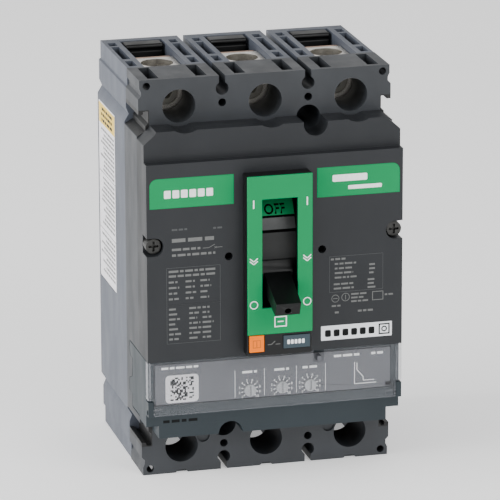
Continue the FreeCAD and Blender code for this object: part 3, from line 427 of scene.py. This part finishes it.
def lettering(name, words, place, material, body, size, height=MARK_HEIGHT, bold=0.0):
    """Short generic marks such as numbers, set flat and bent onto a face.

    'words' holds (text, across, up) with the text centred on that point."""
    mesh = bmesh.new()
    for text, across, up in words:
        curve = bpy.data.curves.new(name + "_curve", "FONT")
        curve.body = text
        curve.size = size
        curve.offset = bold
        curve.align_x = "CENTER"
        curve.align_y = "CENTER"
        curve.extrude = (height + MARK_SINK) / 2
        curve.resolution_u = 3
        holder = bpy.data.objects.new(name + "_holder", curve)
        bpy.context.scene.collection.objects.link(holder)
        bpy.context.view_layer.update()
        flat = bpy.data.meshes.new_from_object(holder)
        for vertex in flat.vertices:
            x, z, lift = vertex.co
            vertex.co = place(x + across, z + up, lift + (height - MARK_SINK) / 2)
        mesh.from_mesh(flat)
        bpy.data.objects.remove(holder)
        bpy.data.meshes.remove(flat)
    bmesh.ops.remove_doubles(mesh, verts=mesh.verts, dist=1e-8)
    return ride_as_piece(name, mesh, material, body)


# ------------------------------------------------------------------ cover print
def print_on_cover():
    cover = on_front(COVER_FRONT)
    lines = greeked(3, -42.0, 24.9, 6.2, 1, 1, 0.75, 0) + greeked(4, -25.3, 24.6, 3.6, 1, 1, 0.75, 0)
    relief("print_left_small", lines, cover, INK_FAINT, "case")
    head = greeked(5, -42.0, 20.9, 17.0, 1, 1, 1.5, 0)
    relief("print_left_heading", head, cover, INK_GREY, "case")
    notes = greeked(6, -42.0, 16.9, 12.0, 1, 1, 0.95, 0) + greeked(7, -42.0, 14.6, 17.5, 1, 1, 0.95, 0)
    symbol = [stroke((-29.6, 16.3), (-27.2, 16.3), 0.22), stroke((-27.2, 16.3), (-24.6, 17.6), 0.22),
              stroke((-24.4, 16.3), (-21.6, 16.3), 0.22), stroke((-24.8, 15.9), (-24.0, 16.7), 0.2),
              stroke((-24.8, 16.7), (-24.0, 15.9), 0.2)]
    relief("print_left_notes", notes + symbol, cover, INK_GREY, "case")
    frames = outline_bars(-44.3, -6.3, -22.5, 9.1, 0.14) + outline_bars(-44.3, -22.1, -22.5, -6.2, 0.14)
    frames += outline_bars(22.0, -6.1, 44.1, 8.8, 0.14)
    relief("print_frames", frames, cover, INK_FAINT, "case")
    table = greeked(8, -43.4, 8.0, 19.5, 2, 1.9, 0.9, 0.15)
    for step, left in enumerate((-43.4, -36.6, -30.6)):
        table += greeked(10 + step, left, 3.6, 4.6, 4, 2.3, 0.8, 0.4)
    for step, left in enumerate((-43.4, -35.2, -29.8)):
        table += greeked(20 + step, left, -7.5, 5.0, 7, 2.05, 0.8, 0.45)
    relief("print_left_table", table, cover, INK_GREY, "case")
    right = greeked(31, 22.6, 8.0, 6.0, 1, 1, 0.8, 0) + greeked(32, 24.2, 6.0, 9.0, 4, 1.9, 0.75, 0.3)
    right += greeked(33, 23.8, -2.4, 9.5, 2, 1.8, 0.75, 0.2) + greeked(34, 38.4, 4.8, 3.2, 3, 1.7, 0.75, 0.3)
    right += greeked(35, 37.8, -1.4, 3.6, 3, 1.6, 0.75, 0.4)
    relief("print_right_table", right, cover, INK_GREY, "case")
    marks = ring(24.5, -8.7, 1.6, 0.25) + [stroke((23.6, -8.7), (25.4, -8.7), 0.25)]
    marks += ring(28.7, -8.4, 1.7, 0.25) + [stroke((28.7, -7.4), (28.7, -9.4), 0.25)]
    marks += outline_bars(39.7, -10.6, 44.3, -6.9, 0.3) + greeked(36, 31.0, -7.0, 7.0, 3, 1.5, 0.7, 0.3)
    marks += greeked(37, 44.9, -8.2, 3.4, 1, 1, 0.7, 0) + greeked(38, 23.0, -11.4, 3.6, 1, 1, 0.7, 0)
    marks += greeked(39, 24.3, -14.1, 1.6, 1, 1, 0.8, 0) + greeked(41, 33.8, -14.1, 6.2, 1, 1, 0.8, 0)
    relief("print_right_marks", marks, cover, INK_GREY, "case")


def make_badge():
    cover = on_front(COVER_FRONT)
    relief("badge_plate", [rounded(18.6, -25.8, 47.9, -19.8, 0.3)], cover, BADGE_WHITE, "case",
           BADGE_HEIGHT)
    raised = on_front(COVER_FRONT - BADGE_HEIGHT)
    blocks = [rounded(20.2 + 3.6 * i, -24.4, 22.7 + 3.6 * i, -21.5, 0.6, 3) for i in range(6)]
    symbol = outline_bars(42.4, -25.0, 47.0, -20.5, 0.55) + ring(44.7, -22.75, 1.2, 0.5)
    relief("badge_marks", blocks + symbol, raised, INK_DARK, "case", THIN_MARK)


def mark_nameplates():
    plate = on_front(COVER_FRONT)
    left = [rounded(-45.0 + 3.4 * i, 37.4, -42.3 + 3.4 * i, 40.6, 0.4) for i in range(6)]
    right = [rounded(23.2, 39.4, 37.4, 42.2, 0.5), rounded(29.6, 36.0, 43.4, 37.6, 0.4)]
    relief("nameplate_left_marks", left, plate, INK_WHITE, "case")
    relief("nameplate_right_marks", right, plate, INK_WHITE, "case")


# ------------------------------------------------------------------ handle marks
def mark_escutcheon():
    face = on_front(GREEN_FRONT)
    columns = (-10.7, 11.0)
    marks = [bar(x - 0.25, 32.8, x + 0.25, 36.2) for x in columns]
    for x in columns:
        for z in (11.3, 10.2):
            marks.append(stroke((x - 1.6, z + 1.2), (x, z - 0.2), 0.42))
            marks.append(stroke((x, z - 0.2), (x + 1.6, z + 1.2), 0.42))
        marks += ring(x, -6.6, 1.7, 0.36)
    marks += outline_bars(-2.4, -16.3, 2.7, -11.9, 0.45)
    marks += [stroke((-1.0, -14.1), (1.3, -14.1), 0.45)]
    relief("escutcheon_marks", marks, face, INK_WHITE, "case")


def mark_handle():
    """Position flag and bands on the apron, which turn with the handle.

    The edges of the bands are degrees above level, from the lever up to the flag."""
    lever_edge, face_edge, low_line, high_line, flag_edge, apron_edge = -9.0, 12.9, 15.3, 25.0, 26.9, 45.5

    def band(low, high, half=8.4, steps=10):
        step = (high - low) / steps
        return [bar(-half, low + i * step, half, low + (i + 1) * step) for i in range(steps)]

    relief("handle_flag_field", band(flag_edge, apron_edge), on_apron, INK_GREEN, "handle")
    lines = band(high_line, flag_edge, steps=2) + band(face_edge, low_line, steps=2)
    relief("handle_flag_lines", lines, on_apron, INK_BLACK, "handle", 0.04)
    relief("handle_grey_band", band(low_line, high_line), on_apron, INK_GREY_BAND, "handle")
    relief("handle_apron_face", band(lever_edge, face_edge), on_apron, APRON_GREY, "handle")

    def flag_letters(a, b, h):
        return on_apron(0.6 + a * 0.82, 31.8 + math.degrees(b / APRON_RADIUS), h + MARK_HEIGHT)

    lettering("handle_off_letters", [("OFF", 0, 0)], flag_letters, INK_BLACK, "handle", 6.0, bold=0.14)


def mark_button_row():
    face = on_front(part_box("trip_button")[0].y / MM)
    relief("button_marks", outline_bars(-11.2, -24.4, -8.0, -21.2, 0.3) + [bar(-9.8, -24.0, -9.4, -21.6)],
           face, INK_ORANGE, "trip_button", THIN_MARK)
    symbol = [stroke((-4.9, -23.6), (-3.4, -23.6), 0.28), stroke((-3.4, -23.6), (-1.9, -22.3), 0.28),
              stroke((-1.7, -23.6), (0.2, -23.6), 0.28)]
    relief("bezel_symbol", symbol, on_front(BEZEL_FRONT), INK_GREY, "case")
    rating = on_front(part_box("rating_plate")[0].y / MM)
    blocks = [rounded(3.0 + 1.5 * i, -23.9, 4.1 + 1.5 * i, -22.1, 0.3, 2) for i in range(5)]
    relief("rating_marks", blocks, rating, INK_WHITE, "case", THIN_MARK)


# ------------------------------------------------------------------ trip unit marks
DIALS = ("setting_dial_1", "setting_dial_2", "setting_dial_3")
DIAL_STEPS = 10
FIRST_STEP_ANGLE, STEP_ANGLE = 225, 30
TICK_INNER, TICK_OUTER, NUMBER_RADIUS = 2.6, 3.5, 4.3
FACE_PRINT_LOW = -48.6


def dial_centres():
    return [((low.x + high.x) / 2 / MM, (low.z + high.z) / 2 / MM) for low, high in map(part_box, DIALS)]


def mark_trip_unit():
    face = on_front(FACE_FRONT)
    lines = [bar(x - 0.1, -47.8, x + 0.1, -36.5) for x in (-15.8, -3.7, 9.5, 21.5)]
    ticks = []
    numbers = []
    for x, z in dial_centres():
        for step in range(DIAL_STEPS):
            turn = math.radians(FIRST_STEP_ANGLE - STEP_ANGLE * step)
            across, up = math.cos(turn), math.sin(turn)
            inner = (x + TICK_INNER * across, z + TICK_INNER * up)
            outer = (x + TICK_OUTER * across, z + TICK_OUTER * up)
            ticks.append(stroke(inner, outer, 0.34))
            if z + NUMBER_RADIUS * up > FACE_PRINT_LOW:
                numbers.append((str(step + 1), x + NUMBER_RADIUS * across, z + NUMBER_RADIUS * up * 0.95))
        lines += greeked(int(50 + x), x - 3.0, -37.0, 6.0, 1, 1, 1.0, 0)
    relief("face_lines", lines, face, INK_WHITE, "case")
    relief("face_ticks", ticks, face, INK_WHITE, "case")
    lettering("face_numbers", numbers, face, INK_WHITE, "case", 1.5)
    curve = [stroke((33.6, -37.0), (33.6, -46.2), 0.3), stroke((33.6, -46.2), (42.6, -46.2), 0.3)]
    trip = [(34.6, -37.4), (34.6, -40.4), (37.2, -43.4), (37.2, -45.0), (41.8, -45.0)]
    curve += [stroke(a, b, 0.3) for a, b in zip(trip, trip[1:])]
    relief("face_trip_curve", curve, face, INK_WHITE, "case")
    small = greeked(60, -45.8, -32.9, 15.0, 1, 1, 0.9, 0) + greeked(61, 25.0, -33.4, 12.0, 1, 1, 1.0, 0.2)
    small += greeked(62, 40.5, -33.4, 6.0, 1, 1, 1.0, 0.2)
    relief("face_small_print", small, face, INK_WHITE, "case")
    left = ring(-43.8, -35.3, 0.6, 0.2, 14) + ring(-40.5, -35.3, 0.6, 0.2, 14) + [disc(-37.0, -35.3, 0.5, 14)]
    relief("face_lamps", left, face, INK_GREY, "case")


def make_sticker():
    """White sticker with a made-up pattern of squares that encodes nothing."""
    face = on_front(FACE_FRONT)
    left, low, right, high = -44.2, -47.9, -30.7, -36.4
    relief("sticker_base", [rounded(left, low, right, high, 1.6)], face, LABEL_WHITE, "case",
           STICKER_HEIGHT)
    draw = random.Random(11)
    cells = 15
    pattern = 9.6
    size = pattern / cells
    start_x, start_z = (left + right) / 2 - pattern / 2, (low + high) / 2 - pattern / 2
    squares = []
    for column in range(cells):
        for row in range(cells):
            if draw.random() < 0.48:
                x, z = start_x + column * size, start_z + row * size
                squares.append(bar(x, z, x + size, z + size))
    relief("sticker_pattern", squares, on_front(FACE_FRONT - STICKER_HEIGHT), INK_DARK, "case", THIN_MARK)


def mark_chin():
    chin = on_front(CHIN_FRONT)
    relief("chin_print", greeked(70, -45.2, -55.0, 14.0, 1, 1, 1.2, 0), chin, INK_DARK, "case")
    relief("chin_tab", [rounded(46.4, -48.0, 49.0, -46.2, 0.3)], on_front(FACE_FRONT), INK_DARK, "case", 0.4)


# ------------------------------------------------------------------ side label
def make_side_label():
    """Paper label in the shallow recess of the left side, with a yellow heading."""
    back, front, top, low = -1.2, -30.6, 57.4, -16.8
    relief("side_label_white", [rounded(front, low, back, top, 0.8)], on_left(LABEL_FLOOR),
           LABEL_WHITE, "case", LABEL_HEIGHT)
    paper_face = LABEL_FLOOR - LABEL_HEIGHT
    relief("side_label_yellow", [bar(front + 0.6, 48.5, back - 0.6, top - 0.6)], on_left(paper_face),
           LABEL_YELLOW, "case")
    dividers = [bar(front + 0.6, z, back - 0.6, z + 0.3) for z in (28.0, 4.0)]
    words = greeked(80, front + 2, 46.8, 25.0, 10, 1.85, 0.9, 0.3)
    words += greeked(81, front + 2, 26.5, 25.0, 11, 1.9, 0.9, 0.35)
    words += greeked(82, front + 2, 2.5, 25.0, 9, 1.9, 0.9, 0.35)
    relief("side_label_print", dividers + words, on_left(paper_face), INK_GREY, "case")
    heading = greeked(83, front + 5, 55.4, 20.0, 3, 2.3, 1.2, 0.1)
    relief("side_label_heading", heading, on_left(paper_face - MARK_HEIGHT), INK_DARK, "case")


# ------------------------------------------------------------------ studio
HORIZON_LIGHT, OVERHEAD_LIGHT = 1.25, 0.6
CAMERA_PLACE = (-0.4011, -1.5967, 0.4722)
CAMERA_RIGHT = (0.96793, -0.25121, -0.00284)
CAMERA_LOOK = (0.24022, 0.92894, -0.28171)
SENSOR_MM, LENS_MM = 36.0, 297.7


def area_light(name, place, target, size, power):
    data = bpy.data.lights.new(name, "AREA")
    data.shape = "RECTANGLE"
    data.size, data.size_y = size
    data.energy = power
    light = bpy.data.objects.new(name, data)
    light.location = place
    light.rotation_mode = "QUATERNION"
    light.rotation_quaternion = (Vector(target) - Vector(place)).to_track_quat("-Z", "Y")
    bpy.context.scene.collection.objects.link(light)


def make_studio():
    floor_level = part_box("rear_base")[0].z
    mesh = bpy.data.meshes.new("floor")
    reach = 40.0
    corners = [(x, y, floor_level) for x, y in bar(-reach, -reach, reach, reach)]
    mesh.from_pydata(corners, [], [(0, 1, 2, 3)])
    floor = bpy.data.objects.new("floor", mesh)
    bpy.context.scene.collection.objects.link(floor)
    nodes = Nodes("floor_paper")
    nodes.link(nodes.tint(nodes.span(nodes.noise(3, 3), 0, 1), (0.94, 0.94, 0.94, 1), (0.96, 0.96, 0.96, 1)),
               nodes.shader.inputs["Base Color"])
    nodes.shader.inputs["Roughness"].default_value = 0.8
    nodes.shader.inputs["Emission Color"].default_value = (1, 1, 1, 1)
    nodes.shader.inputs["Emission Strength"].default_value = 0.4
    mesh.materials.append(nodes.material)
    make_sky()
    area_light("left_key", (-1.2, -0.2, 0.4), (0, -0.04, 0), (0.9, 0.9), 20)
    area_light("front_fill", (0.3, -0.62, 0.42), (0, -0.08, 0.07), (0.4, 0.3), 2.2)


def make_sky():
    """White light from all round, brighter at the horizon than overhead."""
    world = bpy.data.worlds.new("studio")
    world.use_nodes = True
    tree = world.node_tree
    sky = tree.nodes["Background"]
    sky.inputs["Color"].default_value = (1, 1, 1, 1)
    split = tree.nodes.new("ShaderNodeSeparateXYZ")
    tree.links.new(tree.nodes.new("ShaderNodeTexCoord").outputs["Generated"], split.inputs["Vector"])
    height = tree.nodes.new("ShaderNodeMapRange")
    height.inputs["To Min"].default_value = HORIZON_LIGHT
    height.inputs["To Max"].default_value = OVERHEAD_LIGHT
    tree.links.new(split.outputs["Z"], height.inputs["Value"])
    tree.links.new(height.outputs["Result"], sky.inputs["Strength"])
    bpy.context.scene.world = world


def make_camera():
    """A long lens in front, to the left and a little above."""
    right = Vector(CAMERA_RIGHT)
    look = Vector(CAMERA_LOOK).normalized()
    right = (right - look * right.dot(look)).normalized()
    up = right.cross(look)
    data = bpy.data.cameras.new("camera")
    data.sensor_width = SENSOR_MM
    data.lens = LENS_MM
    data.clip_end = 100
    camera = bpy.data.objects.new("camera", data)
    axes = Matrix((right, up, -look)).transposed().to_4x4()
    camera.matrix_world = Matrix.Translation(CAMERA_PLACE) @ axes
    bpy.context.scene.collection.objects.link(camera)
    bpy.context.scene.camera = camera


finish_cad_nodes()
print_on_cover()
make_badge()
mark_nameplates()
mark_escutcheon()
mark_handle()
mark_button_row()
mark_trip_unit()
make_sticker()
mark_chin()
make_side_label()
make_studio()
make_camera()
